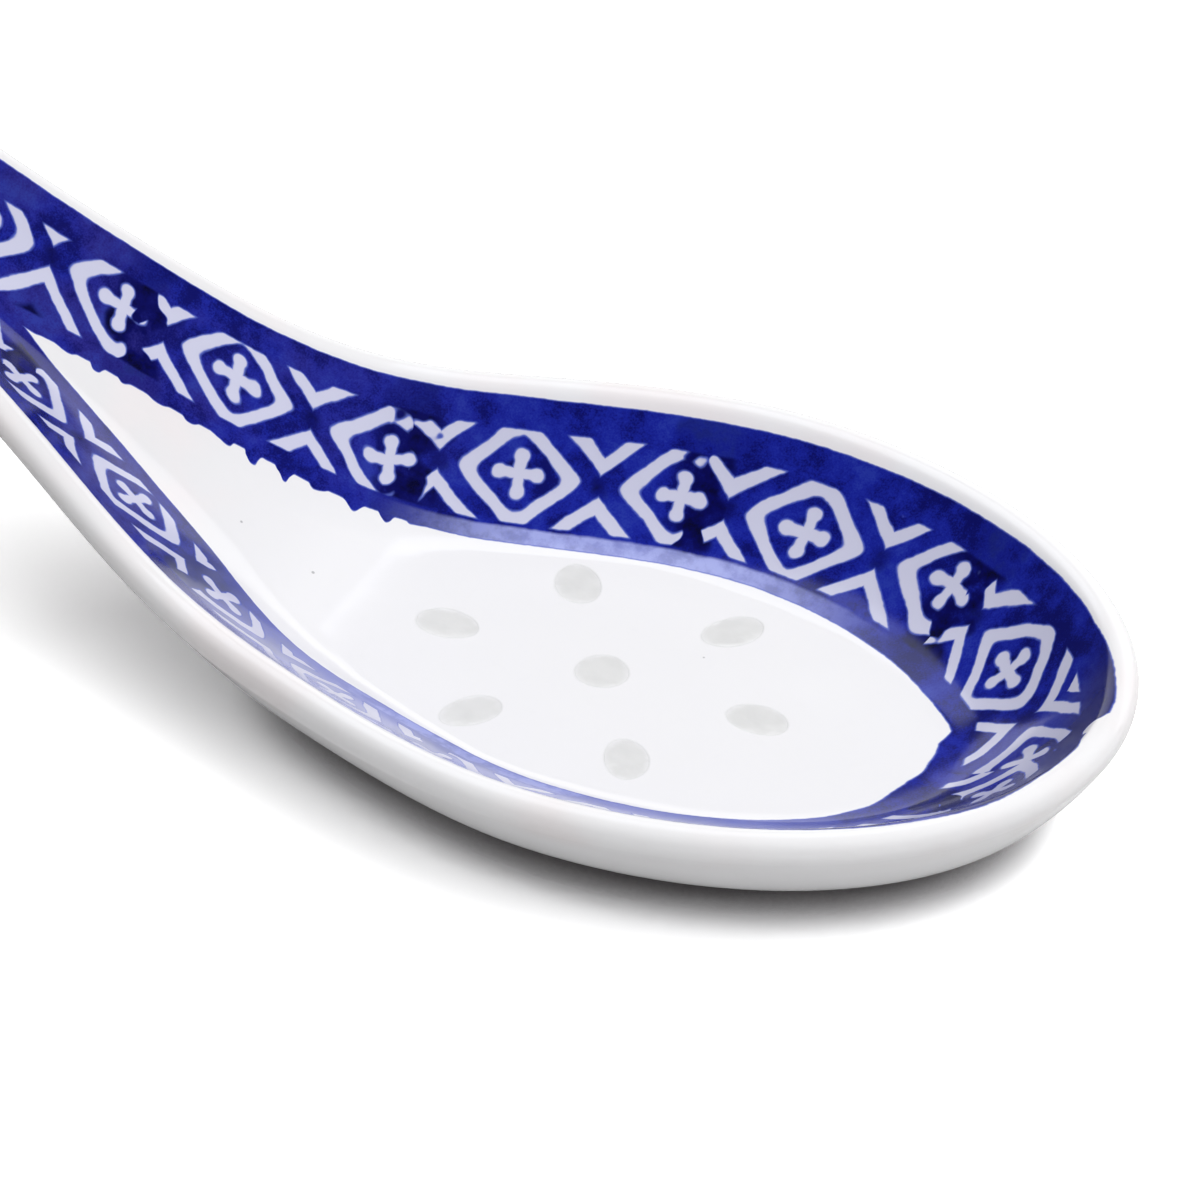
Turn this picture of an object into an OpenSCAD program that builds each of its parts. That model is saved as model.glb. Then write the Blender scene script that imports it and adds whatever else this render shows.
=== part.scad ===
/* [Overall] */
// Length of the spoon seen from above, tip to handle end
spoon_l = 126; // [118:1:136]
// Width of the bowl over the outside of its rim
bowl_w = 46.4; // [41:0.2:52]
// Height of the rim above the flat inner floor
bowl_depth = 7; // [5.6:0.1:8.6]

/* [Outline from above] */
// From the foot's centre forward to the tip of the bowl
tip_x = 38.8; // [35:0.2:43]
// From the foot's centre forward to the widest place of the bowl
widest_x = 6.6; // [3:0.2:10]
// From the foot's centre back to the narrowest place of the handle
neck_x = 64; // [56:0.5:70]
// Width of the handle at its narrowest place
neck_w = 14.4; // [12:0.2:17]
// Width of the handle near its end
handle_w = 17; // [14:0.2:20]
// Length of the rounded end of the handle
end_l = 8.5; // [6:0.5:12]

/* [Side view] */
// From the foot's centre back to where floor and rim start to rise
rise_x = 12.4; // [9:0.2:15]
// Length over which the rim bends up to the slope of the handle
rim_bend_l = 21.6; // [16:0.2:28]
// Length over which the floor bends up to the slope of the handle
floor_bend_l = 10.6; // [8:0.2:16]
// From the foot's centre back to where the handle starts to level out
ease_x = 45; // [40:1:52]
// Length over which the handle levels out
ease_l = 44; // [34:1:54]

/* [Wall] */
// Thickness of the wall at its rounded rim
rim_t = 2.5; // [1.9:0.1:3.1]
// Thickness of the floor under the trough and the bowl
floor_t = 2.8; // [2.2:0.1:3.6]
// Width of the sloping inner wall, seen from above
wall_w = 10.9; // [9:0.1:12]

/* [Foot] */
// Length of the oval resting face
foot_l = 40; // [38:0.5:43]
// Width of the oval resting face
foot_w = 26; // [24:0.5:28]
// Height of the foot, and depth of the recess inside its ring
foot_h = 1.4; // [0.8:0.1:2.4]
// Width of the ring that the spoon rests on
ring_w = 1.8; // [1.4:0.1:2.4]
// How far the foot spreads from its resting face up to the bowl
foot_flare = 0.6; // [0.3:0.1:1]

/* [Grain windows] */
// From the foot's centre forward to the middle of the flower
flower_x = 2; // [-1:0.5:5]
// Distance of the front and back petals from the flower's middle
flower_reach = 11.3; // [9.5:0.1:13]
// Half the width of the flower over the middles of its side petals
flower_side = 7.6; // [6.5:0.1:9]
// Length of a petal, along its radius
petal_l = 4.4; // [3.4:0.1:5.4]
// Width of a petal
petal_w = 3; // [2:0.1:3.6]
// Diameter of the round window in the middle
centre_d = 3.6; // [2.4:0.1:4.6]
// How far the glaze filling sinks below the porcelain on each side
glaze_sink = 0.15; // [0.05:0.05:0.4]

/* [Hidden] */

// Outline shares: how far each curve's handle reaches along its stretch
tip_round_share = 0.58;
bowl_front_share = 0.47;
bowl_back_share = 0.257;
neck_share = 0.49;
handle_share = 0.4;
end_round_share = 0.55;
// Steepness of the rising handle, as rise over run, and the part of it that levels out
rise_share = 0.603;
ease_share = 0.5;
// How far the sections' middle points spread under the tip, along the sides and under the handle's end
tip_spine_share = 0.45;
spine_share = 0.86;
end_spine_share = 0.35;
// Curvature of the inner and outer wall: 1 is straight
inner_curve_share = 1.5;
outer_curve_share = 2.15;
// How much of the trough's half width its walls take, and how gradually the bowl's wall gives way to them
trough_share = 0.93;
wall_soft_share = 0.12;
// How close to the middle plane a section's foot points may come
foot_top_share = 0.9;
foot_edge_share = 0.95;
// The rounded rim runs from the inner wall over its crest to the outer wall
rim_inner_angle = 50;
rim_outer_angle = 125;
// One petal every sixth of a turn
petals = 6;

// Stations along one side, for the four stretches of the outline
stations = [18, 26, 8, 10];
wall_steps = 7;
rim_steps = 7;
under_steps = 8;
floor_steps = 2;
$fn = 48;

// Overrun of a cut past the face that it leaves through
cut = 0.5;
// Levels and ends that follow from the sizes above
end_x = spoon_l - tip_x;
rim_r = rim_t / 2;
under_z = foot_h;
floor_z = foot_h + floor_t;
rim_z = floor_z + bowl_depth;
soft_w = wall_w * wall_soft_share;
side_count = stations[0] + stations[1] + stations[2] + stations[3];
loop_count = 2 * side_count;

// The left half of the outline, from the tip back to the handle's end, as four curves
back_l = widest_x + neck_x;
grip_l = end_x - end_l - neck_x;
stretches = [
    [[tip_x, 0], [tip_x, bowl_w / 2 * tip_round_share],
        [widest_x + (tip_x - widest_x) * (1 - bowl_front_share), bowl_w / 2], [widest_x, bowl_w / 2]],
    [[widest_x, bowl_w / 2], [widest_x - back_l * bowl_back_share, bowl_w / 2],
        [back_l * neck_share - neck_x, neck_w / 2], [-neck_x, neck_w / 2]],
    [[-neck_x, neck_w / 2], [-neck_x - grip_l * handle_share, neck_w / 2],
        [end_l - end_x + grip_l * handle_share, handle_w / 2], [end_l - end_x, handle_w / 2]],
    [[end_l - end_x, handle_w / 2], [end_l * (1 - end_round_share) - end_x, handle_w / 2],
        [-end_x, handle_w / 2 * end_round_share], [-end_x, 0]]];

function curve_point(p, t) = pow(1 - t, 3) * p[0] + 3 * pow(1 - t, 2) * t * p[1]
    + 3 * (1 - t) * t * t * p[2] + pow(t, 3) * p[3];
function curve_way(p, t) = pow(1 - t, 2) * (p[1] - p[0]) + 2 * (1 - t) * t * (p[2] - p[1])
    + t * t * (p[3] - p[2]);

// Each station of one side: its place on the outline and the way along it
side = concat(
    [for (s = [0 : 3]) for (i = [0 : stations[s] - 1])
        [curve_point(stretches[s], i / stations[s]), curve_way(stretches[s], i / stations[s])]],
    [[[-end_x, 0], [0, -handle_w]]]);

// Where a station's section meets the middle plane: drawn in evenly under the tip and the handle's end,
// and in between along the plan normal for most of its reach
function free_spine_x(i) = let (p = side[i][0], way = side[i][1])
    p[0] >= widest_x ? widest_x + (p[0] - widest_x) * tip_spine_share
    : p[0] <= end_l - end_x ? end_l - end_x + (p[0] - end_l + end_x) * end_spine_share
    : p[0] + spine_share * p[1] * way[1] / way[0];
// The first section that would end behind the foot ends at its back edge instead
function spine_x(i) = let (x = free_spine_x(i), foot_back = -foot_l / 2)
    i > 0 && x < foot_back && free_spine_x(i - 1) > foot_back ? foot_back : x;

// A smooth step from level to a steady slope of 1: its height after a run t
function bend(t) = t <= 0 ? 0 : t >= 1 ? t - 1 / 2 : pow(t, 3) - pow(t, 4) / 2;
function rise(x, bend_l) = rise_share * (bend((-x - rise_x) / bend_l) * bend_l
    - ease_share * bend((-x - ease_x) / ease_l) * ease_l);
function floor_at(x) = floor_z + rise(x, floor_bend_l);
function under_at(x) = under_z + rise(x, floor_bend_l);
function rim_at(x) = rim_z + rise(x, rim_bend_l);

// The sloping wall keeps its width where there is room, and takes most of the room where there is less
function wall_reach(reach) = let (room = reach * trough_share)
    room <= wall_w - soft_w ? room
    : room >= wall_w + soft_w ? wall_w
    : room - pow(room - wall_w + soft_w, 2) / (4 * soft_w);

// How far along a section's ray it enters an oval, or the given limit where it doesn't
function oval_entry(p, way, l, w, limit) = let (
    a = pow(2 * way[0] / l, 2) + pow(2 * way[1] / w, 2),
    b = 2 * (4 * p[0] * way[0] / l / l + 4 * p[1] * way[1] / w / w),
    c = pow(2 * p[0] / l, 2) + pow(2 * p[1] / w, 2) - 1,
    root = b * b - 4 * a * c)
    root <= 0 ? limit : min(limit, (-b - sqrt(root)) / (2 * a));
function in_oval(q, l, w) = pow(2 * q[0] / l, 2) + pow(2 * q[1] / w, 2) < 1;

// A point of the inner surface (side 1) or the outer one (side -1), at a reach r along the ray
function wall_point(p, way, foot, r, side) = let (
    angle = side > 0 ? rim_inner_angle : rim_outer_angle,
    edge = rim_r + side * rim_r * sin(angle),
    q = p + way * r,
    low = side > 0 ? floor_at(q[0]) : under_at(q[0]),
    top = rim_at(q[0]) - rim_r + rim_r * cos(angle),
    t = max(0, (foot - r) / (foot - edge)))
    [q[0], q[1], low + (top - low) * pow(t, side > 0 ? inner_curve_share : outer_curve_share)];

// A point of the foot: on the resting plane inside the oval, and on the outer surface outside it
function foot_point(p, way, foot, r) = let (q = wall_point(p, way, foot, r, -1))
    in_oval(q, foot_l + cut, foot_w + cut) ? [q[0], q[1], 0] : q;

// One section, from the middle of the floor over wall and rim to the middle of the underside
function section(i) = let (
    p = side[i][0],
    to_spine = [spine_x(i), 0] - p,
    reach = norm(to_spine),
    way = to_spine / reach,
    foot = wall_reach(reach),
    inner = rim_r + rim_r * sin(rim_inner_angle),
    outer = rim_r - rim_r * sin(rim_outer_angle),
    floor_reaches = [for (k = [0 : floor_steps - 1]) reach + (foot - reach) * k / floor_steps],
    wall_reaches = [for (k = [0 : wall_steps - 1]) foot + (inner - foot) * k / wall_steps],
    top_l = foot_l + 2 * foot_flare,
    top_w = foot_w + 2 * foot_flare,
    foot_top = oval_entry(p, way, top_l, top_w, reach * foot_top_share),
    foot_edge = oval_entry(p, way, foot_l, foot_w, reach * foot_edge_share),
    under_reaches = [for (k = [1 : under_steps]) outer + (foot_top - outer) * k / under_steps])
    concat(
        [for (r = concat(floor_reaches, wall_reaches)) wall_point(p, way, foot, r, 1)],
        [for (k = [0 : rim_steps]) let (
            a = rim_inner_angle - (rim_inner_angle + rim_outer_angle) * k / rim_steps,
            q = p + way * (rim_r + rim_r * sin(a)))
            [q[0], q[1], rim_at(q[0]) - rim_r + rim_r * cos(a)]],
        [for (r = under_reaches) wall_point(p, way, foot, r, -1)],
        [for (r = [foot_edge, reach]) foot_point(p, way, foot, r)]);

sections = [for (i = [0 : side_count]) section(i)];
last_ring = len(sections[0]) - 1;

// Sections run all the way round: back along the left side, then forward along the right.
// The points on the middle plane are shared by both sides, and the faces fan out from the two ends
function point_index(j, k) = let (c = j % loop_count, i = min(c, loop_count - c))
    k == 0 ? i : k == last_ring ? side_count + 1 + i
    : 2 * (side_count + 1) + c * (last_ring - 1) + k - 1;

module shell() {
    points = concat(
        [for (i = [0 : side_count]) sections[i][0]],
        [for (i = [0 : side_count]) sections[i][last_ring]],
        [for (j = [0 : loop_count - 1]) for (k = [1 : last_ring - 1])
            let (q = sections[min(j, loop_count - j)][k]) [q[0], j > side_count ? -q[1] : q[1], q[2]]]);
    faces = [for (j = [0 : loop_count - 1]) for (k = [0 : last_ring - 1])
        let (a = point_index(j, k), b = point_index(j + 1, k), c = point_index(j + 1, k + 1),
            d = point_index(j, k + 1), fan = (j % side_count < side_count / 2) != (k == last_ring - 1))
        for (face = fan ? [[a, b, c], [a, c, d]] : [[a, b, d], [b, c, d]]) face];
    polyhedron(points = points, faces = faces, convexity = 6);
}

// An upright oval prism
module oval(l, w, h) {
    scale([l / w, 1, 1]) cylinder(h = h, d = w);
}

// One grain, standing on its lower face: the middle one is round and petals point outwards
module grain(n, z, h) {
    a = 360 / petals * (n - 1);
    x = flower_reach * cos(a);
    y = flower_side * sin(a) / sin(360 / petals);
    if (n == 0) translate([flower_x, 0, z]) cylinder(h = h, d = centre_d);
    else translate([flower_x + x, y, z]) rotate(atan2(y, x)) oval(petal_l, petal_w, h);
}

// Bowl, trough handle and foot: one piece of porcelain, hollowed under the foot and pierced by grains
module porcelain_body() color("white") {
    difference() {
        shell();
        translate([0, 0, -cut]) oval(foot_l - 2 * ring_w, foot_w - 2 * ring_w, foot_h + cut);
        for (n = [0 : petals]) grain(n, under_z - cut, floor_t + 2 * cut);
    }
}

// Clear glaze that fills one pierced grain
module grain_window(n) color("lightgray") {
    grain(n, under_z + glaze_sink, floor_t - 2 * glaze_sink);
}

porcelain_body();
grain_window(0);  // grain_window_centre
grain_window(1);  // grain_window_1
grain_window(2);  // grain_window_2
grain_window(3);  // grain_window_3
grain_window(4);  // grain_window_4
grain_window(5);  // grain_window_5
grain_window(6);  // grain_window_6
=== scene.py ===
import bmesh
import bpy
import numpy as np
from mathutils import Matrix, Vector
from mathutils.geometry import delaunay_2d_cdt


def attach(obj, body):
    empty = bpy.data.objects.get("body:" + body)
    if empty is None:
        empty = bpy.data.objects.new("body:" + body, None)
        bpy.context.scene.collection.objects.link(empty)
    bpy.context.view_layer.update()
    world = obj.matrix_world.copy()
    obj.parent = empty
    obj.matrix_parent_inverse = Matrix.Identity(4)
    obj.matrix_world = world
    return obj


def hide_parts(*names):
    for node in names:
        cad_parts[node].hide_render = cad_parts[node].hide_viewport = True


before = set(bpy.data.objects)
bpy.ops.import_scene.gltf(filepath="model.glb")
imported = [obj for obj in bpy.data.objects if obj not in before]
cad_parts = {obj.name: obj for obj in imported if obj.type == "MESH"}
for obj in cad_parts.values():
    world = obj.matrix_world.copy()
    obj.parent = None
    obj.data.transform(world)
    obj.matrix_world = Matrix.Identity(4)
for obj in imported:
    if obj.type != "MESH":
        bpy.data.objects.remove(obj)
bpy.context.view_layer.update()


# Porcelain body
# Bowl, rising trough handle and oval foot, pressed as one piece of white porcelain. Seven grains are
# pierced through its floor, the inner wall carries a cobalt border under the glaze, and all but the
# resting face of the foot is glazed.

# Sizes are in millimetres, with +X to the bowl's tip and the foot's resting face at zero height
TIP_X = 38.8  # from the foot's middle forward to the bowl's tip
WIDEST_X = 6.6  # forward to the bowl's widest place
NECK_X = 64.0  # back to the handle's narrowest place
END_X = 87.2  # back to the handle's end
END_L = 8.5  # length of the handle's rounded end
BOWL_W, NECK_W, HANDLE_W = 46.4, 14.4, 17.0
FLOOR_Z = 4.2  # upper face of the bowl's floor
UNDER_Z = 1.4  # lower face of the bowl's floor
RIM_Z = 11.185  # crest of the bowl's lip
RIM_R = 1.25  # radius of the lip
WALL_W = 10.9  # run of the sloping wall in plan, from the outline to its foot
SKIN = 0.02  # how far the dressed spoon lies inside the solid's outline
RISE_X = 12.4  # back to where the handle begins to climb
RIM_BEND, FLOOR_BEND = 21.6, 10.6  # lengths over which the rim and the floor bend up to the handle's slope
EASE_X, EASE_L = 45.0, 44.0  # back to where the handle begins to level out, and over what length
RISE_SHARE, EASE_SHARE = 0.603, 0.5  # slope of the handle, and the share of it that is taken back
INNER_CURVE_SHARE, OUTER_CURVE_SHARE = 1.5, 2.15  # powers that curve the inner and the outer wall
FOOT_A, FOOT_B = 20.0, 13.0  # half length and half width of the foot
FLOWER_X, FLOWER_REACH, FLOWER_SIDE = 2.0, 11.3, 7.6  # the grains' flower: its middle and its reaches
PETAL_A, PETAL_B, CENTRE_R = 2.2, 1.5, 1.8  # half length and half width of a petal, radius of the centre

# Outline shares: how far each curve's handle reaches along its stretch
TIP_ROUND_SHARE, BOWL_FRONT_SHARE, BOWL_BACK_SHARE = 0.58, 0.47, 0.257
NECK_SHARE, HANDLE_SHARE, END_ROUND_SHARE = 0.49, 0.4, 0.55

# Inside the bowl, thick glaze fills the corner at the wall's foot: places along the spoon, and how much
# further in the wall begins there
GLAZE_FILLET = ([-40, -26, -20, -15, -3, 5, 12], [0.0, 0.9, 0.5, 0.0, 0.0, 0.8, 1.0])

# The foot's profile: spread beyond the resting oval, and height, from the under surface down the flared
# side, over the resting face and up into the recess
FOOT_SPREAD = np.array([1.25, 1.0, 0.78, 0.62, 0.5, 0.42, 0.33, 0.24, 0.14, 0.04, -0.08, -0.24, -0.42, -0.9,
    -1.38, -1.52, -1.66, -1.76, -1.8, -1.82, -1.86, -1.93, -2.04])
FOOT_RISE = np.array([1.4, 1.385, 1.33, 1.24, 1.12, 0.97, 0.72, 0.45, 0.24, 0.12, 0.04, 0.005, 0.0, 0.0,
    0.0, 0.01, 0.05, 0.14, 0.3, 0.95, 1.22, 1.34, 1.4])
FLARE_ROWS = 8  # rows of the profile that stretch where the under surface climbs away
FOOT_TOP_A, FOOT_TOP_B = FOOT_A + FOOT_SPREAD[0], FOOT_B + FOOT_SPREAD[0]


def bend(t):
    """Height of a smooth step from level to a slope of one: a cubic less half a quartic, then straight."""
    return np.where(t <= 0, 0, np.where(t >= 1, t - 0.5, t**3 - t**4 / 2))


def rise(x, length):
    """Climb of the handle behind RISE_X: a bend of the given length, less the later bend that levels it."""
    levelled = EASE_SHARE * bend((-x - EASE_X) / EASE_L) * EASE_L
    return RISE_SHARE * (bend((-x - RISE_X) / length) * length - levelled)


def floor_at(x):
    """Height of the floor of the bowl and of the handle's trough."""
    return FLOOR_Z + rise(x, FLOOR_BEND)


def under_at(x):
    """Height of the under surface, from which the outer wall rises."""
    return UNDER_Z + rise(x, FLOOR_BEND)


def recess_at(x):
    """Height of the level recess inside the foot."""
    return UNDER_Z + 0 * x


def rim_at(x):
    """Height of the lip's crest."""
    return RIM_Z + rise(x, RIM_BEND)


def eased(t):
    """A smooth step: three squares less two cubes."""
    return t * t * (3 - 2 * t)


def half_outline(counts):
    """Left half of the plan outline from tip to handle end: points and directions of four cubic Bezier
    curves, each with its handles at shares of its stretch."""
    back, grip = WIDEST_X + NECK_X, END_X - END_L - NECK_X
    b, n, h = BOWL_W / 2, NECK_W / 2, HANDLE_W / 2
    curves = np.array([
        [(TIP_X, 0), (TIP_X, b * TIP_ROUND_SHARE),
            (WIDEST_X + (TIP_X - WIDEST_X) * (1 - BOWL_FRONT_SHARE), b), (WIDEST_X, b)],
        [(WIDEST_X, b), (WIDEST_X - back * BOWL_BACK_SHARE, b),
            (back * NECK_SHARE - NECK_X, n), (-NECK_X, n)],
        [(-NECK_X, n), (-NECK_X - grip * HANDLE_SHARE, n),
            (END_L - END_X + grip * HANDLE_SHARE, h), (END_L - END_X, h)],
        [(END_L - END_X, h), (END_L * (1 - END_ROUND_SHARE) - END_X, h),
            (-END_X, h * END_ROUND_SHARE), (-END_X, 0)]], float)
    place, way = [], []
    for p, count in zip(curves, counts):
        t = np.arange(count)[:, None] / count
        place.append((1 - t)**3 * p[0] + 3 * (1 - t)**2 * t * p[1] + 3 * (1 - t) * t * t * p[2] + t**3 * p[3])
        way.append((1 - t)**2 * (p[1] - p[0]) + 2 * (1 - t) * t * (p[2] - p[1]) + t * t * (p[3] - p[2]))
    place.append([[-END_X, 0.0]])
    way.append([[0.0, -1.0]])
    return np.concatenate(place), np.concatenate(way)


# Where a section's line meets the middle plane: shares of the way from the widest place to the tip, of the
# outline's own slant, and of the rounded end; and how much of that line the wall may fill, softly
TIP_SPINE_SHARE, SPINE_SHARE, END_SPINE_SHARE = 0.45, 0.86, 0.35
TROUGH_SHARE, WALL_SOFT_SHARE = 0.93, 0.12
PATCH_BACK = -12.6  # back end of the floor patch that the grains pierce


def section_lines(counts):
    """For each station: its outline point, the plan direction inwards, where that meets the middle plane,
    and how far the sloping wall reaches inside and outside, the smaller of the wall's run and its room,
    blended by a parabola. One station each is moved to end at the back of the floor patch and of the foot."""
    place, way = half_outline(counts)
    x, y = place.T
    with np.errstate(all="ignore"):
        free = x + SPINE_SHARE * y * way[:, 1] / np.where(way[:, 0] == 0, -1e-9, way[:, 0])
    spine = np.where(x >= WIDEST_X, WIDEST_X + (x - WIDEST_X) * TIP_SPINE_SHARE,
        np.where(x <= END_L - END_X, END_L - END_X + (x - END_L + END_X) * END_SPINE_SHARE, free))
    patch_end = int(np.argmin(np.abs(spine - PATCH_BACK)))
    foot_end = int(np.argmin(np.abs(spine + FOOT_TOP_A)))
    spine[patch_end], spine[foot_end] = PATCH_BACK, -FOOT_TOP_A
    inwards = np.stack([spine, 0 * spine], 1) - place
    reach = np.linalg.norm(inwards, axis=1)
    room, soft = reach * TROUGH_SHARE, WALL_W * WALL_SOFT_SHARE
    feet = []
    for wall in (WALL_W + np.interp(x, *GLAZE_FILLET), WALL_W):
        feet.append(np.where(room <= wall - soft, room, np.where(room >= wall + soft, wall,
            room - (room - wall + soft)**2 / (4 * soft))))
    return place, inwards / reach[:, None], spine, feet[0], feet[1], patch_end, foot_end


def lip_angles(place, way, foot, outer_foot):
    """The angles at which the lip's arc meets the inner and the outer wall without a crease. From a rough
    start, each of ten rounds turns the arc's end to the slope that the wall has there."""
    inner, outer = np.full((2, len(place)), np.deg2rad([[50], [55]]))
    for _ in range(10):
        run = RIM_R + RIM_R * np.sin(inner)
        x = place[:, 0] + way[:, 0] * run
        tall = rim_at(x) - RIM_R + RIM_R * np.cos(inner) - floor_at(x)
        inner = np.arctan(INNER_CURVE_SHARE * tall / (foot - run))
        run = RIM_R - RIM_R * np.sin(outer)
        x = place[:, 0] + way[:, 0] * run
        tall = rim_at(x) - RIM_R - RIM_R * np.cos(outer) - under_at(x)
        outer = np.arctan(OUTER_CURVE_SHARE * tall / (outer_foot - run))
    return inner, np.pi - outer


def wall_height(x, r, foot, edge, top, low, power):
    """Height of a wall: from the level surface up to the lip as a power of the run from the wall's foot."""
    t = np.clip((foot - r) / (foot - edge), 0, None)
    return low(x) + (rim_at(x) - RIM_R + top - low(x)) * t**power


def oval(a, b, angle, centre=0.0):
    """Plan points of an oval: cosine and sine of the angle times its half length and half width."""
    return np.stack([centre + a * np.cos(angle), b * np.sin(angle)], -1)


SQUEEZE_SHARE = 0.45  # share of the way round the foot after which the stations spread to reach its back


def squeezed_angle(points, a, b, end):
    """Angle of each point round an oval, its later part eased so that the station numbered end arrives at
    the back: a cube of the share of the way is added."""
    angle = np.arctan2(points[:, 1] / b, points[:, 0] / a)[: end + 1]
    start = SQUEEZE_SHARE * angle[end]
    t = np.clip((angle - start) / (angle[end] - start), 0, None)
    angle = angle + (np.pi - angle[end]) * t**3
    angle[0] = 0.0
    return angle


def raised(plan, height):
    """Plan points with a height each."""
    return np.concatenate([plan, np.broadcast_to(height, plan.shape[:-1])[..., None]], -1)


def looped(side, flip):
    """The left side's stations and then the right side's on the way back, times the given signs."""
    return np.concatenate([side, side[-2:0:-1] * np.array(flip)])


STATIONS = (64, 110, 44, 36)  # along the four curves of the outline
FLOOR_ROWS, WALL_ROWS, LIP_ROWS, UNDER_ROWS = 6, 34, 18, 30
WALL_CROWD = 0.9  # power that crowds the wall's rows towards the lip
PATCH_ROUND, PATCH_SHARE = -7.5, 0.985  # where the patch's rounded end begins, its share of the floor's width
PATCH_X, PATCH_A, PATCH_B, PATCH_FRONT = 2.6, 15.2, 11.0, 6.0  # its oval front, and how soon that takes over
UNDER_TURN = 0.6  # share of the outer wall after which its lines turn towards the foot

place, way, spine, foot, outer_foot, patch_end, foot_end = section_lines(STATIONS)
place, foot, outer_foot = place + way * SKIN, foot - SKIN, outer_foot - SKIN
inner_angle, outer_angle = lip_angles(place, way, foot, outer_foot)
count = len(place)
edge_in = RIM_R + RIM_R * np.sin(inner_angle)
edge_out = RIM_R - RIM_R * np.sin(outer_angle)
middle_line = np.stack([spine, 0 * spine], 1)

# Inside, from the middle outwards: level floor, sloping wall, and the lip over its crest. The patch of
# floor that the grains pierce is oval in front, keeps just inside the wall's foot at the sides, and ends
# rounded
wall_foot = place + way * foot[:, None]
t = np.clip((PATCH_ROUND - spine) / (PATCH_ROUND - PATCH_BACK), 0, 1)
t = np.where(np.arange(count) < patch_end, PATCH_SHARE * np.sqrt(1 - t * t), 0.0)[:, None]
floor_end = middle_line * (1 - t) + wall_foot * t
front = eased(np.clip(wall_foot[:, :1] / PATCH_FRONT, 0, 1))
floor_end = floor_end * (1 - front) + front * oval(PATCH_A, PATCH_B,
    np.arctan2(wall_foot[:, 1] / PATCH_B, (wall_foot[:, 0] - PATCH_X) / PATCH_A), PATCH_X)
t = np.arange(FLOOR_ROWS)[None, :, None] / FLOOR_ROWS
plan = floor_end[:, None] * (1 - t) + wall_foot[:, None] * t
floor_rows = raised(plan, floor_at(plan[..., 0]))
t = (np.arange(WALL_ROWS) / WALL_ROWS)[None] ** WALL_CROWD
r = foot[:, None] + (edge_in - foot)[:, None] * t
plan = place[:, None] + way[:, None] * r[..., None]
wall_rows = raised(plan, wall_height(plan[..., 0], r, foot[:, None], edge_in[:, None],
    (RIM_R * np.cos(inner_angle))[:, None], floor_at, INNER_CURVE_SHARE))
t = (np.arange(LIP_ROWS + 1) / LIP_ROWS)[None]
angle = inner_angle[:, None] - (inner_angle + outer_angle)[:, None] * t
plan = place[:, None] + way[:, None] * (RIM_R + RIM_R * np.sin(angle))[..., None]
lip_rows = raised(plan, rim_at(plan[..., 0]) - RIM_R + RIM_R * np.cos(angle))

# Outside, from the lip down to the foot's edge, or to the middle line behind the foot
under_end = middle_line.copy()
foot_angle = squeezed_angle(place + way * outer_foot[:, None], FOOT_TOP_A, FOOT_TOP_B, foot_end)
under_end[: foot_end + 1] = oval(FOOT_TOP_A, FOOT_TOP_B, foot_angle)
under_end[foot_end, 1] = 0.0
under_reach = np.linalg.norm(under_end - place, axis=1)
under_way = (under_end - place) / under_reach[:, None]
t = (np.arange(1, UNDER_ROWS + 1) / UNDER_ROWS)[None]
r = edge_out[:, None] + (under_reach - edge_out)[:, None] * t
turned = eased(np.clip((r / under_reach[:, None] - UNDER_TURN) / (1 - UNDER_TURN), 0, 1))[..., None]
turned[:, -1] = 1.0
plan = place[:, None] + (way[:, None] * (1 - turned) + under_way[:, None] * turned) * r[..., None]
under_rows = raised(plan, wall_height(plan[..., 0], r, outer_foot[:, None], edge_out[:, None],
    (RIM_R * np.cos(outer_angle))[:, None], under_at, OUTER_CURVE_SHARE))

half = np.concatenate([floor_rows, wall_rows, lip_rows, under_rows], 1)
half[[0, -1], :, 1] = 0.0

# Where each point lies on the wall: run along it from the tip, measured some way down the wall, and run
# over the surface from the crest
ALONG_DEPTH = 6.0
crest_at = FLOOR_ROWS + WALL_ROWS + LIP_ROWS * inner_angle / (inner_angle + outer_angle)
step = np.linalg.norm(np.diff(half, axis=1), axis=2)
run = np.concatenate([np.zeros((count, 1)), np.cumsum(step, 1)], 1)
station, base = np.arange(count), np.floor(crest_at).astype(int)
crest_run = run[station, base] + (crest_at - base) * step[station, base]
from_crest = crest_run[:, None] - run
line = np.array([[np.interp(-ALONG_DEPTH, -from_crest[i], half[i, :, c]) for c in range(3)] for i in station])
along = np.concatenate([[0], np.cumsum(np.linalg.norm(np.diff(line, axis=0), axis=1))])

# The border was put on by hand, stamp after stamp. For the far and the near strip: where each stamp starts
# (run from the tip), and where the strip's upper edge, lower edge and middle line lie (run from the tip,
# and run from the crest there)
FAR_STAMPS = [-20.4, -0.4, 19.6, 40.6, 59.9, 79.6, 99.8, 120.0, 140.2]
FAR_EDGE = ([0, 0.6, 1.1, 1.6, 2.0, 3.2, 5.2, 8.3, 10, 20, 30, 40, 50, 60, 70, 80, 90, 135],
    [0.9, 1.4, 1.6, 0.5, 0.0, 0.0, 0.35, 0.7, 0.95, 1.3, 1.5, 1.6, 1.45, 1.05, 0.7, 0.45, 0.3, 0.3])
FAR_END = ([0, 2, 6.4, 9.1, 15, 20, 30, 40, 50, 55, 60, 65, 70, 80, 84, 87, 92, 135],
    [14.6, 14.5, 14.0, 12.8, 12.9, 12.6, 12.1, 11.75, 11.4, 11.1, 10.3, 9.7, 9.3, 9.1, 9.3, 9.7, 10.7, 10.9])
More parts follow.
